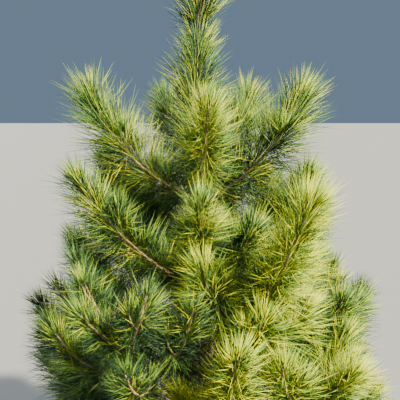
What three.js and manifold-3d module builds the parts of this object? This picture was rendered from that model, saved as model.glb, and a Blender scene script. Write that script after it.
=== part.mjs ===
// A young open-grown pine about two and a quarter metres tall, in millimetres, +Z up.
// The origin is the middle of the flat cut where the trunk leaves level ground.
// A straight trunk carries five whorls of boughs. Each bough is one bare tapering limb that ends where its
// needles begin, and each mass of needles grows on from there: a main shoot with side shoots fused to it.
// A shoot is a slim three-sided core whose bands are drawn out into long spikes, each standing for a bundle
// of needles. Seen from the front, +X is to the right and +Y is away.
import * as THREE from "three";
import Module from "manifold-3d";

const wasm = await Module();
wasm.setup();

// Trunk.
const TRUNK_TOP = 2120;
const TRUNK_FOOT_RADIUS = 30;
const TRUNK_TIP_RADIUS = 3;
const FLARE_RADIUS = 13;
const FLARE_HEIGHT = 34;
const FLARE_RINGS = [0, 14, 34, 66, 120];
const TRUNK_RING_STEP = 125;
const TRUNK_SIDES = 9;
const LEAN_X = -11.5;
const LEAN_Y = 5;
const KINK = 12;
const KINK_FOOT = 1380;
const KINK_HALF_WAVE = 430;
const TRUNK_STRETCHES = 53;

// Clearance between pieces that touch on the living tree.
const JOIN_GAP = 0.3;

// Whorls from the lowest up. Heading 0 is +X and 90 is +Y; rise runs from the bough's foot to its tip.
// A cluster is [share of the bough's line, side shoots, their length].
const LOW_CLUSTERS = [[0.42, 3, 330], [0.68, 3, 250], [0.28, 2, 150]];
const MIDDLE_CLUSTERS = [[0.42, 4, 290], [0.7, 2, 210]];
const INNER_CLUSTERS = [[0.4, 4, 240]];
const HIGH_CLUSTERS = [[0.5, 3, 220]];
const SPARSE_CLUSTERS = [[0.5, 3, 170]];
const WHORLS = [
  {
    height: 230, footRadius: 12, bareShare: 0.26, clusters: LOW_CLUSTERS,
    boughs: [
      { name: "front_right", heading: 300, length: 740, rise: [10, 52] },
      { name: "back_right", heading: 20, length: 760, rise: [8, 54] },
      { name: "back", heading: 84, length: 740, rise: [10, 54] },
      { name: "back_left", heading: 146, length: 760, rise: [8, 52] },
      { name: "front_left", heading: 224, length: 740, rise: [10, 54] },
    ],
  },
  {
    height: 550, footRadius: 11.5, bareShare: 0.26, clusters: LOW_CLUSTERS,
    boughs: [
      { name: "front", heading: 275, length: 760, rise: [38, 68], clusters: SPARSE_CLUSTERS },
      { name: "front_right", heading: 309, length: 690, rise: [28, 62] },
      { name: "back_right", heading: 14, length: 720, rise: [24, 62] },
      { name: "back", heading: 98, length: 740, rise: [24, 62] },
      { name: "left", heading: 178, length: 700, rise: [26, 58] },
    ],
  },
  {
    height: 840, footRadius: 10.5, bareShare: 0.3, clusters: MIDDLE_CLUSTERS,
    boughs: [
      { name: "front_left", heading: 238, length: 610, rise: [24, 52] },
      { name: "front_right", heading: 293, length: 740, rise: [37, 68], clusters: INNER_CLUSTERS },
      { name: "right", heading: 344, length: 490, rise: [13, 48] },
      { name: "back_right", heading: 42, length: 660, rise: [26, 62] },
      { name: "back", heading: 106, length: 660, rise: [26, 62] },
      { name: "left", heading: 172, length: 580, rise: [26, 62] },
    ],
  },
  {
    height: 1110, footRadius: 9, bareShare: 0.25, clusters: HIGH_CLUSTERS,
    boughs: [
      { name: "front_left", heading: 214, length: 520, rise: [28, 60], clusters: [] },
      { name: "front", heading: 268, length: 440, rise: [28, 56], clusters: [] },
      { name: "front_right", heading: 298, length: 330, rise: [26, 60], clusters: [] },
      { name: "right", heading: 18, length: 480, rise: [28, 62] },
      { name: "back_right", heading: 76, length: 520, rise: [28, 64] },
      { name: "back_left", heading: 148, length: 520, rise: [28, 62] },
    ],
  },
  {
    height: 1380, footRadius: 7, bareShare: 0.17, clusters: [],
    boughs: [
      { name: "right", heading: 351, length: 410, rise: [27, 69] },
      { name: "back_right", heading: 52, length: 380, rise: [34, 62] },
      { name: "back_left", heading: 118, length: 390, rise: [34, 62] },
      { name: "left", heading: 190, length: 435, rise: [21, 66] },
      { name: "front", heading: 272, length: 355, rise: [32, 48] },
    ],
  },
];
const WHORL_STAGGER = 16;
const SWEEP = 14;
const BOUGH_SIDES = 5;
const BOUGH_RINGS = 5;
const BOUGH_TAPER = 0.68;
const LINE_STEPS = 24;

// Side shoots leave their parent in a fan round its sides and underside, then turn upwards.
const FAN_START = -200;
const FAN_END = 20;
const FAN_JITTER = 12;
const LEAVE_ANGLE = 48;
const UPTURN_RISE = 74;
const UPTURN_SHARE = 0.85;
const SHOOT_STEPS = 10;
const SHOOT_ROOM = 46;
const LENGTH_SPREAD = 0.16;
const BOUGH_SEED = 97;
const SEED_STEP = 13;
const SLEEVE_SEED = 611;

// Shoots: core radii, and the spikes that stand for bundles of needles.
const MAIN_RADII = [8, 4.5];
const SIDE_RADII = [5.6, 4];
const SPIKE_PITCH = 49;
const SPIKE_BASE = 15;
const SPIKE_LENGTH = 126;
const SPIKE_ANGLES = [64, 24];
const SPIKE_TURN = 52;
const SPIKE_SHORTENING = 0.12;
const SPIKE_SWAY = 8;
const SPIKE_TIP_RADIUS = 0.6;
const END_SPIKE = 92;
const CORE_SIDES = 3;
const SIDE_BARE = 40;
const MAIN_BARE = 12;
const FEWEST_BANDS = 2;
const ROOM = 4;
const TRUNK_ROOM = 2;
const GROUND_CLEAR = 5;
// Shoots farther than this from a spike's tip can't touch it, nor claim its space.
const NEIGHBOURHOOD = 420;
const PARALLEL = 1e-9;

// Needles on the trunk itself: sleeves that stand clear round it, the highest closed over its tip.
const SLEEVE_SIDES = 6;
const SLEEVE_WALL = 2.6;
const SLEEVE_RISE = 12;
const SLEEVE_TURN = 28;
const SLEEVES = [
  { name: "trunk", from: 1168, to: 1348, angles: [86, 66] },
  { name: "leader", from: 1430, to: 1812, angles: [56, 40] },
  { name: "crown_top", from: 1830, to: 2134, angles: [42, 18], shoots: 4 },
];
const TOP_SHOOTS = { height: 1944, length: 164, rise: 52, firstHeading: 20, radii: [4.8, 3.6] };
const TOP_SPIKE = 116;

// Colours and finishes.
const BARK = { color: 0x8b7355, roughness: 0.92 };
const NEEDLES = [
  { color: 0x5d6f33, roughness: 0.62 },
  { color: 0x6c7d36, roughness: 0.62 },
  { color: 0x76873a, roughness: 0.6 },
  { color: 0x728443, roughness: 0.6 },
  { color: 0x7b8b4b, roughness: 0.58 },
  { color: 0x7f8f5c, roughness: 0.58 },
];

const UP = new THREE.Vector3(0, 0, 1);
const LEVEL = [new THREE.Vector3(1, 0, 0), new THREE.Vector3(0, 1, 0)];
const radians = THREE.MathUtils.degToRad;
const mix = THREE.MathUtils.lerp;

// A seeded run of numbers from 0 to 1, the same on every run.
const RANDOM_FACTOR = 1664525;
const RANDOM_STEP = 1013904223;
const RANDOM_RANGE = 2 ** 32;

function numbers(seed) {
  let state = seed >>> 0;
  const next = () => {
    state = (Math.imul(RANDOM_FACTOR, state) + RANDOM_STEP) >>> 0;
    return state / RANDOM_RANGE;
  };
  next();
  next();
  return next;
}

// The unit vector of a compass heading and a rise, in degrees.
function compass(heading, rise) {
  const flat = Math.cos(radians(rise));
  return new THREE.Vector3(
    flat * Math.cos(radians(heading)),
    flat * Math.sin(radians(heading)),
    Math.sin(radians(rise)),
  );
}

// The middle of the trunk at a height: a slight lean, and a kink in the leading shoot.
function trunkMiddle(z) {
  const lean = (z / 1000) ** 2;
  const wave = z > KINK_FOOT ? Math.sin(Math.PI * (z - KINK_FOOT) / KINK_HALF_WAVE) : 0;
  return new THREE.Vector3(LEAN_X * lean - KINK * wave, LEAN_Y * lean, z);
}

function trunkRadius(z) {
  const taper = (TRUNK_FOOT_RADIUS - TRUNK_TIP_RADIUS) * (1 - z / TRUNK_TOP);
  return TRUNK_TIP_RADIUS + Math.max(taper, 0) + FLARE_RADIUS * Math.exp(-z / FLARE_HEIGHT);
}

// A bough's middle line: equal steps that turn evenly from the first rise to the last.
function boughLine(foot, bough, sweep) {
  const line = [foot];
  for (let i = 0; i < LINE_STEPS; i += 1) {
    const t = (i + 0.5) / LINE_STEPS;
    const way = compass(bough.heading + sweep * t, mix(bough.rise[0], bough.rise[1], t));
    line.push(line[i].clone().addScaledVector(way, bough.length / LINE_STEPS));
  }
  return line;
}

// A side shoot's middle line: it sets out along a given way and turns upwards.
function shootLine(foot, way, length) {
  const heading = THREE.MathUtils.radToDeg(Math.atan2(way.y, way.x));
  const upright = compass(heading, UPTURN_RISE);
  const line = [foot];
  for (let i = 0; i < SHOOT_STEPS; i += 1) {
    const share = UPTURN_SHARE * (i + 0.5) / SHOOT_STEPS;
    const step = way.clone().lerp(upright, share).normalize();
    line.push(line[i].clone().addScaledVector(step, length / SHOOT_STEPS));
  }
  return line;
}

function pointOn(line, share) {
  const place = Math.min(Math.max(share, 0), 1) * (line.length - 1);
  const i = Math.min(Math.floor(place), line.length - 2);
  return line[i].clone().lerp(line[i + 1], place - i);
}

function wayAlong(line, share) {
  const reach = 0.5 / (line.length - 1);
  return pointOn(line, share + reach).sub(pointOn(line, share - reach)).normalize();
}

// Two directions square to a way: one level, to its left, and one on its upper side.
function squareTo(way) {
  const left = new THREE.Vector3().crossVectors(UP, way).normalize();
  const upper = new THREE.Vector3().crossVectors(way, left);
  return [left, upper];
}

function outward([first, second], turn) {
  return first.clone().multiplyScalar(Math.cos(radians(turn)))
    .addScaledVector(second, Math.sin(radians(turn)));
}

function ring(middle, square, radius, sides, turn) {
  const corners = [];
  for (let i = 0; i < sides; i += 1) {
    corners.push(middle.clone().addScaledVector(outward(square, turn + i * 360 / sides), radius));
  }
  return corners;
}

// A closed solid through rings of corners. Where a band between two rings carries spikes, each of its sides
// is drawn out to a point; a null spike leaves that side plain. The last ring closes on the tip, or flat.
function loft(rings, spikes, tip) {
  const sides = rings[0].length;
  const points = rings.flat();
  const faces = [];
  const add = (point) => points.push(point) - 1;
  for (let i = 2; i < sides; i += 1) {
    faces.push([0, i, i - 1]);
  }
  for (let k = 1; k < rings.length; k += 1) {
    for (let i = 0; i < sides; i += 1) {
      const j = (i + 1) % sides;
      const [a, b] = [(k - 1) * sides + i, (k - 1) * sides + j];
      const [c, d] = [k * sides + j, k * sides + i];
      const spike = spikes[k - 1] && spikes[k - 1][i];
      if (spike) {
        const apex = add(spike);
        faces.push([a, b, apex], [b, c, apex], [c, d, apex], [d, a, apex]);
      } else {
        faces.push([a, b, d], [b, c, d]);
      }
    }
  }
  const last = (rings.length - 1) * sides;
  const apex = tip ? add(tip) : -1;
  for (let i = 0; tip && i < sides; i += 1) {
    faces.push([last + i, last + (i + 1) % sides, apex]);
  }
  for (let i = 2; !tip && i < sides; i += 1) {
    faces.push([last, last + i - 1, last + i]);
  }
  return solid(points, faces);
}

function solid(points, faces) {
  const vertProperties = new Float32Array(points.flatMap((p) => p.toArray()));
  return new wasm.Manifold(new wasm.Mesh({
    numProp: 3,
    vertProperties,
    triVerts: new Uint32Array(faces.flat()),
  }));
}

function meshOf(name, made, look) {
  const data = made.getMesh();
  const geometry = new THREE.BufferGeometry();
  geometry.setAttribute("position", new THREE.BufferAttribute(data.vertProperties, 3));
  geometry.setIndex(new THREE.BufferAttribute(data.triVerts, 1));
  geometry.computeVertexNormals();
  const material = new THREE.MeshStandardMaterial({ ...look, metalness: 0 });
  const mesh = new THREE.Mesh(geometry, material);
  mesh.name = name;
  return mesh;
}

// The trunk, or its outline grown by a clearance for cutting what stands against it.
function trunkSolid(grow) {
  const heights = [...FLARE_RINGS];
  while (heights.at(-1) + TRUNK_RING_STEP < TRUNK_TOP) {
    heights.push(heights.at(-1) + TRUNK_RING_STEP);
  }
  heights.push(TRUNK_TOP);
  const rings = heights.map((z) => ring(trunkMiddle(z), LEVEL, trunkRadius(z) + grow, TRUNK_SIDES, 0));
  if (grow > 0) {
    rings[rings.length - 1].forEach((corner) => corner.setZ(TRUNK_TOP + grow));
  }
  return loft(rings, [], null);
}

// Straight pieces that other pieces must keep clear of: ends, radii at the ends, and whose they are.
function stretches(line, radii, owner) {
  const list = [];
  const span = line.length - 1;
  for (let i = 1; i <= span; i += 1) {
    list.push({
      from: line[i - 1], to: line[i], owner,
      radii: [mix(radii[0], radii[1], (i - 1) / span), mix(radii[0], radii[1], i / span)],
    });
  }
  return list;
}

// The gap between two tapering straight pieces, taken where their middle lines come closest.
function gapBetween(one, other) {
  const u = one.to.clone().sub(one.from);
  const v = other.to.clone().sub(other.from);
  const w = one.from.clone().sub(other.from);
  const [uu, uv, vv, uw, vw] = [u.dot(u), u.dot(v), v.dot(v), u.dot(w), v.dot(w)];
  const spread = uu * vv - uv * uv;
  const hold = (x) => Math.min(Math.max(x, 0), 1);
  let s = spread > PARALLEL ? hold((uv * vw - vv * uw) / spread) : 0;
  const t = hold((uv * s + vw) / vv);
  s = hold((uv * t - uw) / uu);
  const between = w.addScaledVector(u, s).addScaledVector(v, -t).length();
  return between - mix(one.radii[0], one.radii[1], s) - mix(other.radii[0], other.radii[1], t);
}

// A quick test: the starts lie farther apart than both pieces, their thicknesses and the room can bridge.
function farApart(one, other, room) {
  const thick = one.radii[0] + other.radii[0];
  const reach = one.from.distanceTo(one.to) + other.from.distanceTo(other.to) + thick + room;
  return one.from.distanceTo(other.from) > reach;
}

function isClear(piece, others, room) {
  return others.every((other) => other.owner === piece.owner || farApart(piece, other, room)
    || gapBetween(piece, other) > room);
}

function distanceTo(point, list) {
  let least = Infinity;
  for (const { from, to } of list) {
    const along = to.clone().sub(from);
    const t = Math.min(Math.max(point.clone().sub(from).dot(along) / along.lengthSq(), 0), 1);
    least = Math.min(least, point.distanceTo(along.multiplyScalar(t).add(from)));
  }
  return least;
}

// Skeleton: the trunk, every bough's bare limb and every mass's shoots.
const limbs = [];
const masses = [];

function placeTrunk() {
  const line = [];
  for (let i = 0; i <= TRUNK_STRETCHES; i += 1) {
    line.push(trunkMiddle(TRUNK_TOP * i / TRUNK_STRETCHES));
  }
  const radii = [TRUNK_FOOT_RADIUS + TRUNK_ROOM, TRUNK_TIP_RADIUS + TRUNK_ROOM];
  limbs.push(...stretches(line, radii, "trunk"));
}

function sleeveRadius(z) {
  return (trunkRadius(z) + JOIN_GAP + SLEEVE_WALL) / Math.cos(Math.PI / SLEEVE_SIDES);
}

// The sleeves of needles round the trunk, and the shoots that stand round its tip.
function placeSleeves() {
  SLEEVES.forEach((sleeve, place) => {
    const line = [];
    for (let i = 0; i <= SHOOT_STEPS; i += 1) {
      line.push(trunkMiddle(mix(sleeve.from, sleeve.to, i / SHOOT_STEPS)));
    }
    const random = numbers(SLEEVE_SEED + SEED_STEP * place);
    const radii = [sleeveRadius(sleeve.from), sleeveRadius(sleeve.to)];
    const main = { owner: sleeve.name, line, from: 0, radii, stem: stretches(line, radii, sleeve.name) };
    const mass = { name: sleeve.name, tier: WHORLS.length, sleeve, random, shoots: [main] };
    for (let i = 0; i < (sleeve.shoots || 0); i += 1) {
      const heading = TOP_SHOOTS.firstHeading + i * 360 / sleeve.shoots;
      const foot = trunkMiddle(TOP_SHOOTS.height);
      const side = shootLine(foot, compass(heading, TOP_SHOOTS.rise), TOP_SHOOTS.length);
      const owner = `${sleeve.name}_${i}`;
      const stem = stretches(side, TOP_SHOOTS.radii, owner);
      mass.shoots.push({ owner, line: side, from: 0, radii: TOP_SHOOTS.radii, bare: SIDE_BARE, stem });
    }
    masses.push(mass);
  });
}

function placeBoughs() {
  WHORLS.forEach((whorl, tier) => whorl.boughs.forEach((bough, place) => {
    const name = `tier${tier + 1}_${bough.name}`;
    const random = numbers(BOUGH_SEED * (tier + 1) + SEED_STEP * place);
    const foot = trunkMiddle(whorl.height + WHORL_STAGGER * ((2 * place) % 3 - 1));
    const line = boughLine(foot, bough, SWEEP * (random() - 0.5));
    const steps = Math.round(whorl.bareShare * LINE_STEPS);
    const split = steps / LINE_STEPS;
    const radii = [whorl.footRadius, whorl.footRadius * BOUGH_TAPER];
    limbs.push(...stretches(line.slice(0, steps + 1), radii, name));
    const main = { owner: `${name}_main`, line, from: split, radii: MAIN_RADII, bare: MAIN_BARE };
    const clusters = bough.clusters ?? whorl.clusters;
    const mass = { name, tier, whorl, clusters, line, split, random, shoots: [main] };
    main.stem = stretches(line.slice(steps), MAIN_RADII, main.owner);
    masses.push(mass);
  }));
}

// Side shoots, each left out where it would crowd another shoot or a limb.
function placeSideShoots() {
  const stems = masses.flatMap((mass) => mass.shoots[0].stem);
  for (const mass of masses.filter(({ whorl }) => whorl)) {
    for (const [share, count, length] of mass.clusters) {
      for (let i = 0; i < count; i += 1) {
        const turn = mix(FAN_START, FAN_END, i / (count - 1)) + FAN_JITTER * (2 * mass.random() - 1);
        const reach = length * (1 + LENGTH_SPREAD * (2 * mass.random() - 1));
        const parentWay = wayAlong(mass.line, share);
        const way = parentWay.clone().multiplyScalar(Math.cos(radians(LEAVE_ANGLE)))
          .addScaledVector(outward(squareTo(parentWay), turn), Math.sin(radians(LEAVE_ANGLE)));
        const line = shootLine(pointOn(mass.line, share), way, reach);
        const owner = `${mass.name}_${share}_${i}`;
        const stem = stretches(line, SIDE_RADII, owner);
        const outer = stem.slice(SHOOT_STEPS / 2);
        if (outer.every((piece) => isClear(piece, [...limbs, ...stems], SHOOT_ROOM))) {
          mass.shoots.push({ owner, line, from: 0, radii: SIDE_RADII, bare: SIDE_BARE, stem });
          stems.push(...stem);
        }
      }
    }
  }
}

placeTrunk();
placeSleeves();
placeBoughs();
placeSideShoots();

// Spikes already standing: first the one that ends each shoot, then the rest as they are placed.
const standing = masses.flatMap(({ sleeve, shoots }) => shoots.slice(sleeve ? 1 : 0).map((shoot) => ({
  from: pointOn(shoot.line, 1), to: shootTip(shoot), owner: shoot.owner,
  radii: [shoot.radii[1], SPIKE_TIP_RADIUS],
})));

function shootTip({ line }) {
  return pointOn(line, 1).addScaledVector(wayAlong(line, 1), END_SPIKE);
}

// Whether a spike keeps to its own mass's space and clear of every limb, shoot and spike but its own.
function mayStand(spike, mass) {
  if (spike.to.z < GROUND_CLEAR) {
    return false;
  }
  const own = distanceTo(spike.to, mass.shoots.flatMap((shoot) => shoot.stem));
  const others = masses.filter((other) => other !== mass && nearEnough(other, spike.to));
  if (others.some((other) => distanceTo(spike.to, other.shoots.flatMap((s) => s.stem)) < own)) {
    return false;
  }
  const near = others.concat(mass).flatMap((other) => other.shoots.flatMap((s) => s.stem));
  const bars = mass.sleeve ? limbs.filter((limb) => limb.owner !== "trunk") : limbs;
  return isClear(spike, bars, ROOM) && isClear(spike, near, ROOM) && isClear(spike, standing, ROOM);
}

function nearEnough(mass, point) {
  const close = (piece) => piece.from.distanceTo(point) < NEIGHBOURHOOD;
  return mass.shoots.some((shoot) => shoot.stem.some(close));
}

// The spikes round one band of a shoot.
function bandSpikes(middle, way, square, radius, sides, turn, angle, shoot, mass) {
  const found = [];
  for (let i = 0; i < sides; i += 1) {
    const out = outward(square, turn + (i + 0.5) * 360 / sides);
    const length = SPIKE_LENGTH * (1 - SPIKE_SHORTENING * mass.random());
    const lean = angle + SPIKE_SWAY * (mass.random() - 0.5);
    const from = middle.clone().addScaledVector(out, radius * Math.cos(Math.PI / sides));
    const to = from.clone().addScaledVector(way, length * Math.cos(radians(lean)))
      .addScaledVector(out, length * Math.sin(radians(lean)));
    const piece = { from, to, owner: shoot.owner, radii: [SPIKE_BASE / 2, SPIKE_TIP_RADIUS] };
    const stands = mayStand(piece, mass);
    if (stands) {
      standing.push(piece);
    }
    found.push(stands ? to : null);
  }
  return found;
}

// One shoot as a solid: pairs of rings hold the spiked bands, with plain twisted bands between.
function shootSolid(shoot, mass) {
  const { line, from, radii, bare } = shoot;
  const length = pathLength(line) * (1 - from);
  const count = Math.max(FEWEST_BANDS, Math.round((length - bare) / SPIKE_PITCH));
  const pitch = (length - bare) / count;
  const rings = [];
  const spikes = [];
  const addRing = (along, radius, turn) => {
    const share = from + (1 - from) * along / length;
    const way = wayAlong(line, share);
    rings.push(ring(pointOn(line, share), squareTo(way), radius, CORE_SIDES, turn));
  };
  addRing(0, radii[0], 0);
  for (let k = 0; k < count; k += 1) {
    const end = bare + (k + 1) * pitch;
    const middle = end - SPIKE_BASE / 2;
    const t = middle / length;
    const radius = mix(radii[0], radii[1], t);
    const turn = SPIKE_TURN * (k + 1);
    const share = from + (1 - from) * t;
    const way = wayAlong(line, share);
    const angle = mix(SPIKE_ANGLES[0], SPIKE_ANGLES[1], t);
    const spiked = bandSpikes(
      pointOn(line, share), way, squareTo(way), radius, CORE_SIDES, turn, angle, shoot, mass,
    );
    spikes.push(null, spiked);
    addRing(end - SPIKE_BASE, radius, turn);
    addRing(end, radius, turn);
  }
  return loft(rings, spikes, shootTip(shoot));
}

// A sleeve of needles round the trunk, before the trunk's own room is cut out of it.
function sleeveSolid(shoot, mass) {
  const { from, to, angles } = mass.sleeve;
  const count = Math.round((to - from - SLEEVE_RISE) / SPIKE_PITCH);
  const pitch = (to - from - SLEEVE_RISE) / count;
  const rings = [];
  const spikes = [];
  const addRing = (z, turn) => {
    rings.push(ring(trunkMiddle(z), LEVEL, sleeveRadius(Math.min(z, TRUNK_TOP)), SLEEVE_SIDES, turn));
  };
  addRing(from, 0);
  for (let k = 0; k < count; k += 1) {
    const end = from + SLEEVE_RISE + (k + 1) * pitch;
    const z = end - SPIKE_BASE / 2;
    const turn = SLEEVE_TURN * (k + 1);
    const angle = mix(angles[0], angles[1], (z - from) / (to - from));
    const radius = sleeveRadius(Math.min(z, TRUNK_TOP));
    const spiked = bandSpikes(
      trunkMiddle(z), UP, LEVEL, radius, SLEEVE_SIDES, turn, angle, shoot, mass,
    );
    spikes.push(null, spiked);
    addRing(end - SPIKE_BASE, turn);
    addRing(end, turn);
  }
  const top = mass.sleeve.shoots ? trunkMiddle(to).setZ(to + TOP_SPIKE) : null;
  return loft(rings, spikes, top);
}

function pathLength(line) {
  return line.slice(1).reduce((sum, point, i) => sum + point.distanceTo(line[i]), 0);
}

// A bough: a five-sided tapering limb, its foot cut to the trunk's skin.
function boughSolid(mass, cutter) {
  const rings = [];
  for (let k = 0; k < BOUGH_RINGS; k += 1) {
    const t = k / (BOUGH_RINGS - 1);
    const share = t * mass.split;
    const radius = mass.whorl.footRadius * mix(1, BOUGH_TAPER, t);
    const way = wayAlong(mass.line, share);
    const middle = pointOn(mass.line, share);
    if (k === BOUGH_RINGS - 1) {
      middle.addScaledVector(way, -JOIN_GAP);
    }
    rings.push(ring(middle, squareTo(way), radius, BOUGH_SIDES, 90));
  }
  return loft(rings, [], null).subtract(cutter);
}

function joined(solids) {
  return solids.reduce((whole, piece) => whole.add(piece));
}

function tree() {
  const group = new THREE.Group();
  const cutter = trunkSolid(JOIN_GAP);
  group.add(meshOf("trunk", trunkSolid(0), BARK));
  for (const mass of masses.filter(({ whorl }) => whorl)) {
    group.add(meshOf(`${mass.name}_bough`, boughSolid(mass, cutter), BARK));
  }
  for (const mass of [...masses].sort((one, other) => other.tier - one.tier)) {
    const solids = mass.shoots.map((shoot, i) => (
      mass.sleeve && i === 0 ? sleeveSolid(shoot, mass) : shootSolid(shoot, mass)
    ));
    const made = mass.sleeve ? joined(solids).subtract(cutter) : joined(solids);
    group.add(meshOf(`${mass.name}_needles`, made, NEEDLES[mass.tier]));
  }
  return group;
}

const group = tree();

export default group;
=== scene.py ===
"""A young open-grown pine: bark, boughs, twigs, buds and long needles.

The skeleton is grown by the same rule and the same seeded numbers as the solids, in millimetres, and
carried on to finer twigs. Meshes are made in metres. From the front, +X is to the right and +Y is away.
"""

import functools
import math

import bpy
import numpy as np
from bpy.props import FloatProperty, FloatVectorProperty, IntProperty, PointerProperty
from bpy.types import Operator, Panel, PropertyGroup
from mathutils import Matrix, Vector, noise


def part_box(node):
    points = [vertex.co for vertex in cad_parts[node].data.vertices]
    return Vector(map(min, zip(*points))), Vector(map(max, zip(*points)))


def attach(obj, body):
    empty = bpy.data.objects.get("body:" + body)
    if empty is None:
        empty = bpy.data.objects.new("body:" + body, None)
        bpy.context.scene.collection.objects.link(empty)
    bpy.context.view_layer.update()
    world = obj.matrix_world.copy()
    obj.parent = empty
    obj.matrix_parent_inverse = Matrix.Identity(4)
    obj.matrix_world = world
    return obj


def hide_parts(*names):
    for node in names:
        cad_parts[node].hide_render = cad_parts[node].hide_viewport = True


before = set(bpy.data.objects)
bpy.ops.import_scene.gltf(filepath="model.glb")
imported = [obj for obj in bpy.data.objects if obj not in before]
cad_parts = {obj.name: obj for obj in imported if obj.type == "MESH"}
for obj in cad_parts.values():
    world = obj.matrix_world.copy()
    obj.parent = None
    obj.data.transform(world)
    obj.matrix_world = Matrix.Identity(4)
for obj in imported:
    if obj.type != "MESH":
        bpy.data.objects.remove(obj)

bl_info = {
    "name": "Young pine",
    "version": (1, 0, 0),
    "blender": (4, 5, 0),
    "location": "3D View > Sidebar > Young pine",
    "description": "Bark, boughs, twigs, buds and needles of a young pine",
    "category": "Add Mesh",
}

MM = 0.001
BODY = "root"

# Trunk.
TRUNK_TOP = 2120
TRUNK_FOOT_RADIUS = 30
TRUNK_TIP_RADIUS = 3
FLARE_RADIUS = 13
FLARE_HEIGHT = 34
LEAN_X = -11.5
LEAN_Y = 5
LEAN_HEIGHT = 1000
KINK = 12
KINK_FOOT = 1380
KINK_HALF_WAVE = 430
TRUNK_STRETCHES = 53

# Whorls from the lowest up: a bough is (name, heading, length, rise at its foot, rise at its tip), with its
# own clusters where they differ. A cluster is (share of the bough's line, side shoots, their length).
LOW_CLUSTERS = ((0.42, 3, 330), (0.68, 3, 250), (0.28, 2, 150))
MIDDLE_CLUSTERS = ((0.42, 4, 290), (0.7, 2, 210))
INNER_CLUSTERS = ((0.4, 4, 240),)
HIGH_CLUSTERS = ((0.5, 3, 220),)
SPARSE_CLUSTERS = ((0.5, 3, 170),)
WHORLS = (
    {
        "height": 230, "foot_radius": 12, "bare_share": 0.26, "clusters": LOW_CLUSTERS,
        "boughs": (
            ("front_right", 300, 740, 10, 52),
            ("back_right", 20, 760, 8, 54),
            ("back", 84, 740, 10, 54),
            ("back_left", 146, 760, 8, 52),
            ("front_left", 224, 740, 10, 54),
        ),
    },
    {
        "height": 550, "foot_radius": 11.5, "bare_share": 0.26, "clusters": LOW_CLUSTERS,
        "boughs": (
            ("front", 275, 760, 38, 68, SPARSE_CLUSTERS),
            ("front_right", 309, 690, 28, 62),
            ("back_right", 14, 720, 24, 62),
            ("back", 98, 740, 24, 62),
            ("left", 178, 700, 26, 58),
        ),
    },
    {
        "height": 840, "foot_radius": 10.5, "bare_share": 0.3, "clusters": MIDDLE_CLUSTERS,
        "boughs": (
            ("front_left", 238, 610, 24, 52),
            ("front_right", 293, 740, 37, 68, INNER_CLUSTERS),
            ("right", 344, 490, 13, 48),
            ("back_right", 42, 660, 26, 62),
            ("back", 106, 660, 26, 62),
            ("left", 172, 580, 26, 62),
        ),
    },
    {
        "height": 1110, "foot_radius": 9, "bare_share": 0.25, "clusters": HIGH_CLUSTERS,
        "boughs": (
            ("front_left", 214, 520, 28, 60, ()),
            ("front", 268, 440, 28, 56, ()),
            ("front_right", 298, 330, 26, 60, ()),
            ("right", 18, 480, 28, 62),
            ("back_right", 76, 520, 28, 64),
            ("back_left", 148, 520, 28, 62),
        ),
    },
    {
        "height": 1380, "foot_radius": 7, "bare_share": 0.17, "clusters": (),
        "boughs": (
            ("right", 351, 410, 27, 69),
            ("back_right", 52, 380, 34, 62),
            ("back_left", 118, 390, 34, 62),
            ("left", 190, 435, 21, 66),
            ("front", 272, 355, 32, 48),
        ),
    },
)
WHORL_STAGGER = (-16, 16, 0)
SWEEP = 14
BOUGH_TAPER = 0.68
LINE_STEPS = 24

# Side shoots leave their parent in a fan round its sides and underside, then turn upwards.
FAN_START = -200
FAN_END = 20
FAN_JITTER = 12
LEAVE_ANGLE = 48
UPTURN_RISE = 74
UPTURN_SHARE = 0.85
SHOOT_STEPS = 10
SHOOT_ROOM = 46
LENGTH_SPREAD = 0.16
BOUGH_SEED = 97
SEED_STEP = 13
MAIN_RADII = (8, 4.5)
SIDE_RADII = (5.6, 4)
SIDE_BARE = 40
MAIN_BARE = 12
TRUNK_ROOM = 2
PARALLEL = 1e-9

# Sleeves of needles on the trunk itself: name, heights, and angle to the trunk at foot and top.
SLEEVES = (
    ("trunk", 1168, 1348, (86, 66)),
    ("leader", 1430, 1812, (56, 40)),
    ("crown_top", 1830, 2134, (42, 18)),
)
SLEEVE_ROOM = 2.9
SLEEVE_SIDES = 6
TOP_SHOOTS = {"count": 4, "height": 1944, "length": 164, "rise": 52, "first_heading": 20}
TOP_RADII = (4.8, 3.6)

# Finer twigs, which only the scene carries: where on the parent shoot, and how they leave it.
TWIG_SEED = 4127
TWIG_SHARE = 0.42
TWIG_SHARE_JITTER = 0.16
TWIG_SPREAD = 0.22
TWIG_FAN = (-150, 30)
TWIG_LEAVE = 40
TWIG_PARENT = 160
TWIG_RADII = (2.6, 1.8)
TWIG_BARE = 8
TWIG_ROOM = 12

# Carved bark: its warp, which differs from run to run unless it is seeded, and its furrows in plate
# widths, and its relief as shares of the furrows' depth.
BARK_SEED = 31
WARP = 0.45
WARP_SCALE = 0.7
FURROW_WIDTH = 0.32
FURROW_POWER = 1.5
PLATE_RISE = 0.55
ROUGH_RISE = 0.35
ROUGH_SCALE = 2.6

# Bark's tone: what grain, patches and furrows add to it, and the two tones where its colours stand.
GRAIN_SHARE = 0.55
PATCH_SHARE = 0.45
FURROW_SHARE = -0.6
GRAIN_STRETCH = 0.35
TONE_ENDS = (0.08, 0.62)
DULLEST = 0.98
GLOSSIEST = 0.72

# A seeded run of numbers from 0 to 1, the same on every run.
RANDOM_FACTOR = 1664525
RANDOM_STEP = 1013904223
RANDOM_RANGE = 2**32

UP = np.array((0.0, 0.0, 1.0))


def numbers(seed):
    state = seed

    def next_number():
        nonlocal state
        state = (RANDOM_FACTOR * state + RANDOM_STEP) % RANDOM_RANGE
        return state / RANDOM_RANGE

    next_number()
    next_number()
    return next_number


def mix(first, last, share):
    return first + (last - first) * share


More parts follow.
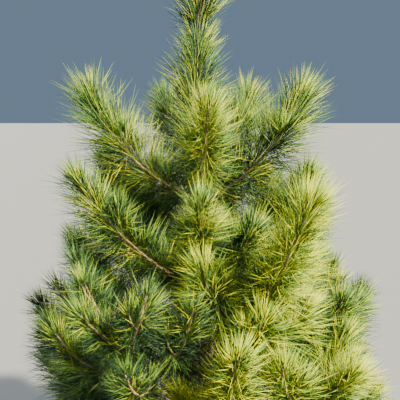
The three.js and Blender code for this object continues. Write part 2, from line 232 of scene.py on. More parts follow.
def unit(rows):
    return rows / np.linalg.norm(rows, axis=-1, keepdims=True)


def compass(heading, rise):
    """The unit vector of a compass heading and a rise, in degrees."""
    flat = math.cos(math.radians(rise))
    turn = math.radians(heading)
    return np.array((flat * math.cos(turn), flat * math.sin(turn), math.sin(math.radians(rise))))


def trunk_middle(z):
    """The middle of the trunk at a height: a slight lean, and a kink in the leading shoot."""
    lean = (z / LEAN_HEIGHT) ** 2
    wave = math.sin(math.pi * (z - KINK_FOOT) / KINK_HALF_WAVE) if z > KINK_FOOT else 0
    return np.array((LEAN_X * lean - KINK * wave, LEAN_Y * lean, z))


def trunk_radius(z):
    taper = (TRUNK_FOOT_RADIUS - TRUNK_TIP_RADIUS) * (1 - z / TRUNK_TOP)
    return TRUNK_TIP_RADIUS + max(taper, 0) + FLARE_RADIUS * math.exp(-z / FLARE_HEIGHT)


def bough_line(foot, heading, length, rises, sweep):
    """A bough's middle line: equal steps that turn evenly from the first rise to the last."""
    line = [foot]
    for i in range(LINE_STEPS):
        t = (i + 0.5) / LINE_STEPS
        way = compass(heading + sweep * t, mix(rises[0], rises[1], t))
        line.append(line[i] + way * length / LINE_STEPS)
    return np.array(line)


def shoot_line(foot, way, length):
    """A side shoot's middle line: it sets out along a given way and turns upwards."""
    upright = compass(math.degrees(math.atan2(way[1], way[0])), UPTURN_RISE)
    line = [foot]
    for i in range(SHOOT_STEPS):
        share = UPTURN_SHARE * (i + 0.5) / SHOOT_STEPS
        line.append(line[i] + unit(mix(way, upright, share)) * length / SHOOT_STEPS)
    return np.array(line)


def points_on(line, shares):
    place = np.clip(shares, 0, 1) * (len(line) - 1)
    i = np.minimum(place.astype(int), len(line) - 2)
    return mix(line[i], line[i + 1], (place - i)[:, None])


def ways_along(line, shares):
    reach = 0.5 / (len(line) - 1)
    return unit(points_on(line, shares + reach) - points_on(line, shares - reach))


def square_to(ways):
    """Two directions square to each way: one level, to its left, and one on its upper side."""
    left = unit(np.cross(UP, ways))
    return left, np.cross(ways, left)


def outward(square, turns):
    turns = np.radians(turns)[..., None]
    return square[0] * np.cos(turns) + square[1] * np.sin(turns)


def path_length(line):
    return np.linalg.norm(np.diff(line, axis=0), axis=1).sum()


def stretches(line, radii):
    """Straight pieces of a tapering line, one row each: both ends, then the radius at both ends."""
    thick = np.linspace(radii[0], radii[1], len(line))
    return np.column_stack((line[:-1], line[1:], thick[:-1], thick[1:]))


def gaps(piece, others):
    """The gap from one tapering straight piece to each of many."""
    u = piece[3:6] - piece[:3]
    v = others[:, 3:6] - others[:, :3]
    w = piece[:3] - others[:, :3]
    uu, uv, vv = u @ u, v @ u, (v * v).sum(1)
    uw, vw = w @ u, (v * w).sum(1)
    spread = uu * vv - uv * uv
    slant = spread > PARALLEL
    s = np.where(slant, np.clip((uv * vw - vv * uw) / np.where(slant, spread, 1), 0, 1), 0)
    t = np.clip((uv * s + vw) / vv, 0, 1)
    s = np.clip((uv * t - uw) / uu, 0, 1)
    between = np.linalg.norm(w + s[:, None] * u - t[:, None] * v, axis=1)
    return between - mix(piece[6], piece[7], s) - mix(others[:, 6], others[:, 7], t)


def is_clear(pieces, others, room):
    return all(gaps(piece, others).min() > room for piece in pieces)


def branch(line, share, turn, leave):
    """Where a side shoot leaves its parent's line, and in which way."""
    parent = ways_along(line, np.array((share,)))
    out = outward(square_to(parent), np.array((turn,)))[0]
    way = parent[0] * math.cos(math.radians(leave)) + out * math.sin(math.radians(leave))
    return points_on(line, np.array((share,)))[0], way


def side_shoot(kind, foot, way, length, radii, bare):
    line = shoot_line(foot, way, length)
    stem = stretches(line, radii)
    return {"kind": kind, "line": line, "from": 0, "bare": bare, "radii": radii, "stem": stem}


def grow_boughs(limbs):
    """Every bough's mass with its main shoot; the bare limbs join the list of limbs."""
    masses = []
    for tier, whorl in enumerate(WHORLS):
        for place, (name, heading, length, low, high, *own) in enumerate(whorl["boughs"]):
            random = numbers(BOUGH_SEED * (tier + 1) + SEED_STEP * place)
            foot = trunk_middle(whorl["height"] + WHORL_STAGGER[place % len(WHORL_STAGGER)])
            line = bough_line(foot, heading, length, (low, high), SWEEP * (random() - 0.5))
            steps = round(whorl["bare_share"] * LINE_STEPS)
            radii = (whorl["foot_radius"], whorl["foot_radius"] * BOUGH_TAPER)
            limbs.append(stretches(line[:steps + 1], radii))
            main = {
                "line": line, "from": steps / LINE_STEPS, "bare": MAIN_BARE, "kind": "main",
                "radii": (radii[1], MAIN_RADII[1]), "stem": stretches(line[steps:], MAIN_RADII),
            }
            masses.append({
                "name": f"tier{tier + 1}_{name}", "tier": tier, "radii": radii, "line": line,
                "split": steps / LINE_STEPS, "random": random, "shoots": [main],
                "clusters": own[0] if own else whorl["clusters"],
            })
    return masses


def grow_side_shoots(limbs, masses, sleeves):
    """Side shoots, each left out where it would crowd another shoot or a limb."""
    stems = np.concatenate([mass["shoots"][0]["stem"] for mass in sleeves + masses])
    limbs = np.concatenate(limbs)
    for mass in masses:
        for share, count, length in mass["clusters"]:
            for i in range(count):
                fan = mix(FAN_START, FAN_END, i / (count - 1))
                turn = fan + FAN_JITTER * (2 * mass["random"]() - 1)
                reach = length * (1 + LENGTH_SPREAD * (2 * mass["random"]() - 1))
                foot, way = branch(mass["line"], share, turn, LEAVE_ANGLE)
                shoot = side_shoot("side", foot, way, reach, SIDE_RADII, SIDE_BARE)
                outer = shoot["stem"][SHOOT_STEPS // 2:]
                if is_clear(outer, np.concatenate((limbs, stems)), SHOOT_ROOM):
                    mass["shoots"].append(shoot)
                    stems = np.concatenate((stems, shoot["stem"]))


def sleeve_radius(z):
    return (trunk_radius(z) + SLEEVE_ROOM) / math.cos(math.pi / SLEEVE_SIDES)


def grow_sleeves():
    """The needles on the trunk itself, and the short shoots round its tip."""
    found = []
    for name, low, high, angles in SLEEVES:
        line = np.array([trunk_middle(mix(low, high, i / SHOOT_STEPS)) for i in range(SHOOT_STEPS + 1)])
        main = {
            "line": line, "from": 0, "bare": 0, "kind": "sleeve", "angles": angles,
            "stem": stretches(line, (sleeve_radius(low), sleeve_radius(high))),
        }
        found.append({"name": name, "tier": len(WHORLS), "shoots": [main]})
    for i in range(TOP_SHOOTS["count"]):
        heading = TOP_SHOOTS["first_heading"] + i * 360 / TOP_SHOOTS["count"]
        way = compass(heading, TOP_SHOOTS["rise"])
        foot = trunk_middle(TOP_SHOOTS["height"])
        shoot = side_shoot("side", foot, way, TOP_SHOOTS["length"], TOP_RADII, SIDE_BARE)
        found[-1]["shoots"].append(shoot)
    return found


def grow_twigs(limbs, masses, length):
    """Finer twigs on every long shoot, kept inside the box of their own mass."""
    limbs = np.concatenate(limbs)
    for place, mass in enumerate(masses):
        random = numbers(TWIG_SEED + SEED_STEP * place)
        low, high = (np.array(corner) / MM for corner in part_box(f"{mass['name']}_needles"))
        for shoot in list(mass["shoots"]):
            if path_length(shoot["line"]) < TWIG_PARENT:
                continue
            for turn in TWIG_FAN:
                share = mix(shoot["from"], 1, TWIG_SHARE + TWIG_SHARE_JITTER * random())
                turn = turn + FAN_JITTER * (2 * random() - 1)
                reach = length * (1 + TWIG_SPREAD * (2 * random() - 1))
                foot, way = branch(shoot["line"], share, turn, TWIG_LEAVE)
                twig = side_shoot("twig", foot, way, reach, TWIG_RADII, TWIG_BARE)
                tip = twig["line"][-1]
                inside = np.all((low < tip) & (tip < high))
                if inside and is_clear(twig["stem"][SHOOT_STEPS // 2:], limbs, TWIG_ROOM):
                    mass["shoots"].append(twig)


@functools.cache
def tree():
    """The whole skeleton, grown once: bare limbs, and masses with their shoots."""
    heights = np.linspace(0, TRUNK_TOP, TRUNK_STRETCHES + 1)
    trunk = np.array([trunk_middle(z) for z in heights])
    limbs = [stretches(trunk, (TRUNK_FOOT_RADIUS + TRUNK_ROOM, TRUNK_TIP_RADIUS + TRUNK_ROOM))]
    sleeves = grow_sleeves()
    masses = grow_boughs(limbs)
    grow_side_shoots(limbs, masses, sleeves)
    grow_twigs(limbs, masses, bpy.context.scene.pine_needles.twig_length / MM)
    return limbs, masses + sleeves


# Meshes.


def mesh_object(name, points, corners, starts, materials, slots=None):
    """A smooth mesh object from arrays: points in metres, and faces as runs of corners."""
    mesh = bpy.data.meshes.new(name)
    mesh.vertices.add(len(points))
    mesh.vertices.foreach_set("co", points.astype(np.float32).ravel())
    mesh.loops.add(len(corners))
    mesh.polygons.add(len(starts))
    mesh.polygons.foreach_set("loop_start", starts.astype(np.int32))
    mesh.polygons.foreach_set("vertices", corners.astype(np.int32))
    if slots is not None:
        mesh.polygons.foreach_set("material_index", slots.astype(np.int32))
    mesh.update(calc_edges=True)
    if mesh.validate():
        raise RuntimeError(f"the mesh of {name} was not sound")
    mesh.shade_smooth()
    for material in materials:
        mesh.materials.append(material)
    piece = bpy.data.objects.new(name, mesh)
    bpy.context.collection.objects.link(piece)
    return piece


def tube(middles, radii, sides):
    """A closed tapering tube as points, corners and corner counts; its last ring closes on a point."""
    shares = np.linspace(0, 1, len(middles))
    ways = ways_along(middles, shares)
    square = square_to(ways)
    turns = np.arange(sides) * 360 / sides
    rings = [
        middles + outward(square, np.full(len(middles), turn)) * np.asarray(radii)[:, None]
        for turn in turns
    ]
    points = np.stack(rings, axis=1).reshape(-1, 3)
    tip = middles[-1] + ways[-1] * radii[-1]
    points = np.vstack((points, tip))
    i = np.arange(sides)
    j = (i + 1) % sides
    quads = np.stack((i, j, j + sides, i + sides), axis=1)
    steps = np.arange(len(middles) - 1) * sides
    body = (quads[None] + steps[:, None, None]).reshape(-1)
    last = (len(middles) - 1) * sides
    cap = np.stack((last + i, last + j, np.full(sides, len(points) - 1)), axis=1).reshape(-1)
    corners = np.concatenate((i[::-1], body, cap))
    counts = np.concatenate(((sides,), np.full(len(steps) * sides, 4), np.full(sides, 3)))
    return points, corners, counts


def joined(parts):
    """Several meshes as arrays, joined into one."""
    offsets = np.cumsum([0] + [len(part[0]) for part in parts[:-1]])
    points = np.concatenate([part[0] for part in parts])
    corners = np.concatenate([part[1] + offset for part, offset in zip(parts, offsets)])
    counts = np.concatenate([part[2] for part in parts])
    return points, corners, np.concatenate(((0,), np.cumsum(counts)[:-1]))


def edit_all():
    """Opens the active mesh in edit mode with all of it selected."""
    bpy.ops.object.mode_set(mode="EDIT")
    bpy.ops.mesh.select_all(action="SELECT")


def face_outwards():
    """Turns every face of the open mesh outwards and leaves edit mode."""
    bpy.ops.mesh.select_all(action="SELECT")
    bpy.ops.mesh.normals_make_consistent(inside=False)
    bpy.ops.object.mode_set(mode="OBJECT")


def hand_over(piece, slot, *nodes):
    """The piece rides on the part's one body, and the named solids are hidden."""
    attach(piece, BODY)
    if nodes:
        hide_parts(*nodes)


def carve_bark(piece, plate, stretch, depth):
    """Sinks furrows between plates of bark into a mesh, and keeps their depth as an attribute."""
    mesh = piece.data
    places = np.empty((len(mesh.vertices), 3), np.float32)
    normals = np.empty_like(places)
    mesh.vertices.foreach_get("co", places.ravel())
    mesh.vertex_normals.foreach_get("vector", normals.ravel())
    furrow, rough = np.empty(len(places)), np.empty(len(places))
    noise.seed_set(BARK_SEED)
    for i, (x, y, z) in enumerate(places.tolist()):
        place = Vector((x, y, z / stretch)) / plate
        place += WARP * noise.noise_vector(place * WARP_SCALE)
        reach, _ = noise.voronoi(place)
        furrow[i] = 1 - min((reach[1] - reach[0]) / FURROW_WIDTH, 1)
        rough[i] = noise.noise(place * ROUGH_SCALE)
    places += normals * (depth * (PLATE_RISE - furrow**FURROW_POWER + ROUGH_RISE * rough))[:, None]
    mesh.vertices.foreach_set("co", places.ravel())
    layer = mesh.attributes.new("furrow", "FLOAT", "POINT")
    layer.data.foreach_set("value", furrow.astype(np.float32))
    mesh.update()


# Materials.


def add_node(nodes, kind, **values):
    node = nodes.new(kind)
    for name, value in values.items():
        if name in node.inputs:
            node.inputs[name].default_value = value
        else:
            setattr(node, name, value)
    return node


def add_factor(nodes, operation, factor, **values):
    node = add_node(nodes, "ShaderNodeMath", operation=operation, **values)
    node.inputs[1].default_value = factor
    return node


def connect(links, *rows):
    """Links sockets: each row names an output by its node and socket, and then an input."""
    for giver, output, taker, entry in rows:
        links.new(giver.outputs[output], taker.inputs[entry])


def new_material(name):
    material = bpy.data.materials.new(name)
    material.use_nodes = True
    return material, material.node_tree.nodes["Principled BSDF"]


def bark_skin_group():
    """A node group for bark: patches of tone, a roughness and a fine relief, on object coordinates."""
    group = bpy.data.node_groups.get("Bark skin")
    if group:
        return group
    group = bpy.data.node_groups.new("Bark skin", "ShaderNodeTree")
    group.interface.new_socket("Furrow", in_out="INPUT", socket_type="NodeSocketFloat")
    group.interface.new_socket("Scale", in_out="INPUT", socket_type="NodeSocketFloat")
    for name in ("Tone", "Roughness", "Height"):
        group.interface.new_socket(name, in_out="OUTPUT", socket_type="NodeSocketFloat")
    nodes = group.nodes
    entry = nodes.new("NodeGroupInput")
    leave = nodes.new("NodeGroupOutput")
    where = nodes.new("ShaderNodeTexCoord")
    squeeze = add_node(nodes, "ShaderNodeMapping", Scale=(1.0, 1.0, GRAIN_STRETCH))
    grain = add_node(nodes, "ShaderNodeTexNoise", Detail=5.0, Roughness=0.62)
    patch = add_node(nodes, "ShaderNodeTexNoise", Scale=14.0, Detail=3.0)
    blend = add_factor(nodes, "MULTIPLY_ADD", GRAIN_SHARE)
    patches = add_factor(nodes, "MULTIPLY", PATCH_SHARE)
    sunk = add_factor(nodes, "MULTIPLY_ADD", FURROW_SHARE, use_clamp=True)
    matt = nodes.new("ShaderNodeMapRange")
    matt.inputs["To Min"].default_value = DULLEST
    matt.inputs["To Max"].default_value = GLOSSIEST
    connect(
        group.links,
        (where, "Object", squeeze, "Vector"),
        (squeeze, "Vector", grain, "Vector"),
        (where, "Object", patch, "Vector"),
        (entry, "Scale", grain, "Scale"),
        (grain, "Fac", blend, 0),
        (patch, "Fac", patches, 0),
        (patches, 0, blend, 2),
        (entry, "Furrow", sunk, 0),
        (blend, 0, sunk, 2),
        (sunk, 0, leave, "Tone"),
        (grain, "Fac", matt, "Value"),
        (matt, "Result", leave, "Roughness"),
        (sunk, 0, leave, "Height"),
    )
    return group


def bark_material(name, dark, light, scale, relief):
    """A bark material: two colours by the skin's tone, with its roughness and relief."""
    material, shader = new_material(name)
    nodes = material.node_tree.nodes
    skin = add_node(nodes, "ShaderNodeGroup", node_tree=bark_skin_group())
    skin.inputs["Scale"].default_value = scale
    furrow = add_node(nodes, "ShaderNodeAttribute", attribute_name="furrow")
    ramp = nodes.new("ShaderNodeValToRGB")
    for end, position, colour in zip(ramp.color_ramp.elements, TONE_ENDS, (dark, light)):
        end.position = position
        end.color = (*colour, 1)
    bump = add_node(nodes, "ShaderNodeBump", Strength=0.5, Distance=relief)
    connect(
        material.node_tree.links,
        (furrow, "Fac", skin, "Furrow"),
        (skin, "Tone", ramp, "Fac"),
        (ramp, "Color", shader, "Base Color"),
        (skin, "Roughness", shader, "Roughness"),
        (skin, "Height", bump, "Height"),
        (bump, "Normal", shader, "Normal"),
    )
    return material


def plain_material(name, colour, roughness, specular):
    """A material of one colour, for the floor and for each tone of the needles."""
    material, shader = new_material(name)
    shader.inputs["Base Color"].default_value = (*colour, 1)
    shader.inputs["Roughness"].default_value = roughness
    shader.inputs["Specular IOR Level"].default_value = specular
    return material


# Settings.


def length_setting(name, description, default):
    return FloatProperty(name=name, description=description, default=default, min=0, unit="LENGTH")


def angle_setting(name, description, degrees):
    return FloatProperty(
        name=name, description=description, default=math.radians(degrees), subtype="ANGLE",
        unit="ROTATION",
    )


def strength_setting(name, description, default):
    return FloatProperty(name=name, description=description, default=default, min=0)


def share_setting(name, description, default):
    return FloatProperty(
        name=name, description=description, default=default, min=0, max=1, subtype="FACTOR",
    )


def colour_setting(name, description, default):
    return FloatVectorProperty(
        name=name, description=description, default=default, min=0, max=1, size=3, subtype="COLOR",
    )


class PineNeedles(PropertyGroup):
    length: length_setting("Length", "Longest needle", 0.148)
    width: length_setting("Width", "Width of a needle at its bend", 0.0018)
    pitch: length_setting("Pitch", "Length of shoot from one bundle of needles to the next", 0.0013)
    twig_length: length_setting("Twig length", "Middle length of the finest twigs", 0.08)
    bundle: IntProperty(name="Bundle", description="Needles in a bundle", default=3, min=1, max=5)
    spread: angle_setting("Spread", "How far a bundle's needles part from each other", 21)
    bend: share_setting("Bend", "How far a needle bends along its shoot, as a share", 0.1)
    roughness: share_setting("Roughness", "Roughness of the needles", 0.36)
    # Tones of the needles, darkest to yellowest, and the dead: partly the needles' own spread of colour and
    # partly painted light and shade, as sprays that stand in light are dealt lighter tones and sprays in
    # shade darker ones.
    deep: colour_setting("Deep", "Colour of the darkest sprays", (0.010, 0.027, 0.010))
    shade: colour_setting("Shade", "Colour of dark green sprays", (0.027, 0.069, 0.022))
    middle: colour_setting("Middle", "Colour of most sprays", (0.060, 0.130, 0.028))
    fresh: colour_setting("Fresh", "Colour of light green sprays", (0.142, 0.250, 0.026))
    light: colour_setting("Light", "Colour of yellow-green sprays", (0.250, 0.350, 0.014))
    gold: colour_setting("Gold", "Colour of the yellowest sprays", (0.480, 0.500, 0.014))
    dry: colour_setting("Dry", "Colour of dead needles", (0.300, 0.170, 0.070))


class PineBark(PropertyGroup):
    plate: length_setting("Plate", "Width of a plate of bark on the trunk", 0.0095)
    depth: length_setting("Depth", "Depth of the furrows on the trunk", 0.0022)
    bud: length_setting("Bud", "Length of the bud that ends a main shoot", 0.019)
    furrow_colour: colour_setting("Furrow", "Colour in the furrows", (0.050, 0.033, 0.022))
    plate_colour: colour_setting("Plate colour", "Colour of the plates", (0.215, 0.165, 0.122))
    shoot_colour: colour_setting("Shoot colour", "Lit colour of young stems", (0.420, 0.270, 0.120))
    shoot_dark: colour_setting("Shoot shade", "Dark colour of young stems", (0.130, 0.075, 0.032))
    bud_colour: colour_setting("Bud colour", "Lit colour of the buds", (0.640, 0.530, 0.380))
    bud_dark: colour_setting("Bud shade", "Colour between the buds' scales", (0.300, 0.180, 0.090))


class PineStage(PropertyGroup):
    floor_size: length_setting("Floor size", "Width of the floor", 400.0)
    floor_colour: colour_setting("Floor colour", "Colour of the floor", (0.15, 0.15, 0.14))
    sky_colour: colour_setting("Sky colour", "Colour of the light all round", (0.50, 0.72, 1.0))
    sky_strength: strength_setting("Sky strength", "Strength of the light all round", 0.29)
    key_colour: colour_setting("Key colour", "Colour of the key light", (1.0, 0.94, 0.78))
    key_strength: strength_setting("Key strength", "Strength of the key light", 21.0)
    key_softness: angle_setting("Key softness", "Angle that the key light fills", 3)
    key_heading: angle_setting("Key heading", "Where the key light stands, from the right", -35)
    key_rise: angle_setting("Key rise", "Height of the key light over the horizon", 44)
    fill_colour: colour_setting("Fill colour", "Colour of the fill light", (0.88, 0.94, 1.0))
    fill_strength: strength_setting("Fill strength", "Strength of the fill light", 7.5)
    fill_softness: angle_setting("Fill softness", "Angle that the fill light fills", 30)
    fill_heading: angle_setting("Fill heading", "Where the fill light stands, from the right", 156)
    fill_rise: angle_setting("Fill rise", "Height of the fill light over the horizon", 38)
    eye: FloatVectorProperty(
        name="Eye", description="Place of the camera", default=(-0.03, -1.23, 1.6), size=3,
        subtype="XYZ", unit="LENGTH",
    )
    pitch: angle_setting("Pitch", "How far the camera looks down", 10.5)
    lens: FloatProperty(
        name="Lens", description="Focal length in millimetres", default=38.97, min=1, unit="CAMERA",
    )


# Pieces.


class PINE_OT_trunk(Operator):
    """Adds the trunk, with its flare, its swellings at the whorls and its bark"""

    bl_idname = "pine.trunk"
    bl_label = "Trunk"

    # The first shape starts below the ground and is cut off just above it.
    facets = 24
    ring_step = 18
    sink = 14
    cut_height = 0.2
    swelling = 2.4
    swelling_reach = 17

    # Lobes of the root flare.
    lobes = 5
    lobe_depth = 0.16
    lobe_height = 60
    lobe_skew = 0.6

    # How much longer than wide the plates are, and the scale and relief of the bark's grain.
    stretch = 3.2
    grain = (210.0, 0.0012)

    def radius(self, z):
        swollen = sum(math.exp(-(((z - whorl["height"]) / self.swelling_reach) ** 2)) for whorl in WHORLS)
        return trunk_radius(max(z, 0)) + self.swelling * swollen

    def execute(self, context):
        bark = context.scene.pine_bark
        bpy.ops.object.select_all(action="DESELECT")
        foot = trunk_middle(0)
        bpy.ops.mesh.primitive_circle_add(
            vertices=self.facets, radius=self.radius(0) * MM, fill_type="NGON",
            location=(0, 0, -self.sink * MM),
        )
        piece = context.object
        piece.name = "trunk_bark"
        bpy.ops.object.transform_apply(location=True, rotation=True, scale=True)
        edit_all()
        heights = np.linspace(-self.sink, TRUNK_TOP, round(TRUNK_TOP / self.ring_step))
        for low, high in zip(heights, heights[1:]):
            middle = trunk_middle(max(high, 0))
            step = middle - foot
            step[2] = high - low
            bpy.ops.mesh.extrude_region_move(TRANSFORM_OT_translate={"value": tuple(step * MM)})
            share = self.radius(high) / self.radius(low)
            centre = (middle[0] * MM, middle[1] * MM, high * MM)
            bpy.ops.transform.resize(value=(share, share, 1), center_override=centre)
            foot = middle
        face_outwards()
        smooth = piece.modifiers.new("Round", "SUBSURF")
        smooth.levels = smooth.render_levels = 2
        bpy.ops.object.modifier_apply(modifier=smooth.name)
        for vertex in piece.data.vertices:
            turn = math.atan2(vertex.co.y, vertex.co.x)
            fade = math.exp(-max(vertex.co.z, 0) / (self.lobe_height * MM))
            skewed = self.lobes * turn + self.lobe_skew * math.sin(2 * turn)
            ridge = 1 + self.lobe_depth * fade * math.cos(skewed)
            vertex.co.x *= ridge
            vertex.co.y *= ridge
        piece.data.update()
        carve_bark(piece, bark.plate, self.stretch, bark.depth)
        edit_all()
        cut = (0, 0, self.cut_height * MM)
        bpy.ops.mesh.bisect(plane_co=cut, plane_no=(0, 0, 1), use_fill=True, clear_inner=True)
        face_outwards()
        bpy.ops.object.shade_smooth()
        material = bark_material("Trunk bark", bark.furrow_colour, bark.plate_colour, *self.grain)
        piece.data.materials.append(material)
        hand_over(piece, "bark", "trunk")
        return {"FINISHED"}


class PINE_OT_boughs(Operator):
    """Adds the bare part of every bough, with its swollen foot and its bark"""

    bl_idname = "pine.boughs"
    bl_label = "Boughs"

    # A bough swells at the trunk, and runs a little way into its main shoot.
    rings = 44
    collar = 0.45
    collar_reach = 16
    overrun = 0.01
    weld = 1e-6

    plate = 0.0065
    stretch = 2.0
    depth = 0.0009
    grain = (320.0, 0.0007)

    def execute(self, context):
        bark = context.scene.pine_bark
        bpy.ops.object.select_all(action="DESELECT")
        bpy.ops.curve.primitive_bezier_curve_add(location=(0, 0, 0))
        piece = context.object
        piece.name = "bough_bark"
        curve = piece.data
        curve.splines.clear()
        curve.dimensions = "3D"
        curve.bevel_depth = MM
        curve.bevel_resolution = 4
        curve.use_fill_caps = True
        masses = [mass for mass in tree()[1] if "split" in mass]
        for mass in masses:
            shares = np.linspace(0, mass["split"] + self.overrun, self.rings)
            middles = points_on(mass["line"], shares)
            spline = curve.splines.new("POLY")
            spline.points.add(self.rings - 1)
            far = shares * path_length(mass["line"])
            skin = trunk_radius(mass["line"][0][2])
            for point, middle, share, reach in zip(spline.points, middles, shares, far):
                swell = self.collar * math.exp(-max(reach - skin, 0) / self.collar_reach)
                point.co = (*(middle * MM), 1)
                point.radius = mix(mass["radii"][0], mass["radii"][1], share / mass["split"]) * (1 + swell)
        bpy.ops.object.convert(target="MESH")
        piece = context.object
        edit_all()
        bpy.ops.mesh.remove_doubles(threshold=self.weld)
        face_outwards()
        carve_bark(piece, self.plate, self.stretch, self.depth)
        bpy.ops.object.shade_smooth()
        material = bark_material("Bough bark", bark.furrow_colour, bark.plate_colour, *self.grain)
        piece.data.materials.append(material)
        hand_over(piece, "bark", *(f"{mass['name']}_bough" for mass in masses))
        return {"FINISHED"}


class PINE_OT_twigs(Operator):
    """Adds the stem of every shoot and twig, knobbed where its needles grow"""

    bl_idname = "pine.twigs"
    bl_label = "Twigs"

    step = 6
    least_rings = 6
    sides = 6
    knob = 0.16

    # Stems are thinner than in the solids, and a main one narrows from its bough's width.
    thin = {"main": 0.62, "side": 0.62, "twig": 0.72}
    narrowing = 45
    grain = (420.0, 0.0006)

    def execute(self, context):
        bark = context.scene.pine_bark
        parts = []
        for mass in tree()[1]:
            for shoot in mass["shoots"]:
                if shoot["kind"] == "sleeve":
                    continue
                length = path_length(shoot["line"]) * (1 - shoot["from"])
                count = max(round(length / self.step), self.least_rings)
                shares = np.linspace(shoot["from"], 1, count)
                first, last = shoot["radii"]
                thin = np.full(count, self.thin[shoot["kind"]])
                if shoot["kind"] == "main":
                    thin += (1 - thin) * np.exp(-np.linspace(0, length, count) / self.narrowing)
                radii = np.linspace(first, last, count) * thin * (1 + self.knob * (np.arange(count) % 2))
                parts.append(tube(points_on(shoot["line"], shares), radii, self.sides))
        points, corners, starts = joined(parts)
        material = bark_material("Shoot bark", bark.shoot_dark, bark.shoot_colour, *self.grain)
        piece = mesh_object("twigs", points * MM, corners, starts, [material])
        hand_over(piece, "bark")
        return {"FINISHED"}


class PINE_OT_buds(Operator):
    """Adds the buds that end every shoot"""

    bl_idname = "pine.buds"
    bl_label = "Buds"

    # A bud's outline: shares of its length, and its width there as a share of its widest.
    profile = ((0.0, 0.62), (0.14, 0.9), (0.34, 1.0), (0.6, 0.86), (0.84, 0.5), (0.97, 0.2))
    sides = 7
    slender = 0.17
    share = {"main": 1.0, "side": 0.78, "twig": 0.5}

    # The smaller buds round the middle one: how many, how far out and back, their tilt and size.
    ring = {"main": 5, "side": 3, "twig": 0}
    ring_out = 2
    ring_back = 3
    ring_tilt = 0.55
    ring_size = 0.6

    # The way in which the trunk ends is measured from this height to its tip.
    way_from = 2000
    grain = (700.0, 0.0004)

    def bud(self, foot, way, length):
        steps = np.array([step for step, _ in self.profile])
        middles = foot + way * length * steps[:, None]
        radii = np.array([wide for _, wide in self.profile]) * length * self.slender
        return tube(middles, radii, self.sides)

    def execute(self, context):
        bark = context.scene.pine_bark
        parts = []
        top = trunk_middle(TRUNK_TOP)
        tips = [(top, unit(top - trunk_middle(self.way_from)), "main")]
        for mass in tree()[1]:
            for shoot in mass["shoots"]:
                if shoot["kind"] != "sleeve":
                    end = np.array((1.0,))
                    way = ways_along(shoot["line"], end)[0]
                    tips.append((points_on(shoot["line"], end)[0], way, shoot["kind"]))
        for tip, way, kind in tips:
            length = bark.bud / MM * self.share[kind]
            parts.append(self.bud(tip, way, length))
            square = square_to(way[None])
            for i in range(self.ring[kind]):
                out = outward(square, np.array((i * 360 / self.ring[kind],)))[0]
                foot = tip + out * self.ring_out - way * self.ring_back
                parts.append(self.bud(foot, unit(way + out * self.ring_tilt), length * self.ring_size))
        points, corners, starts = joined(parts)
        material = bark_material("Bud scales", bark.bud_dark, bark.bud_colour, *self.grain)
        piece = mesh_object("buds", points * MM, corners, starts, [material])
        hand_over(piece, "bark")
        return {"FINISHED"}


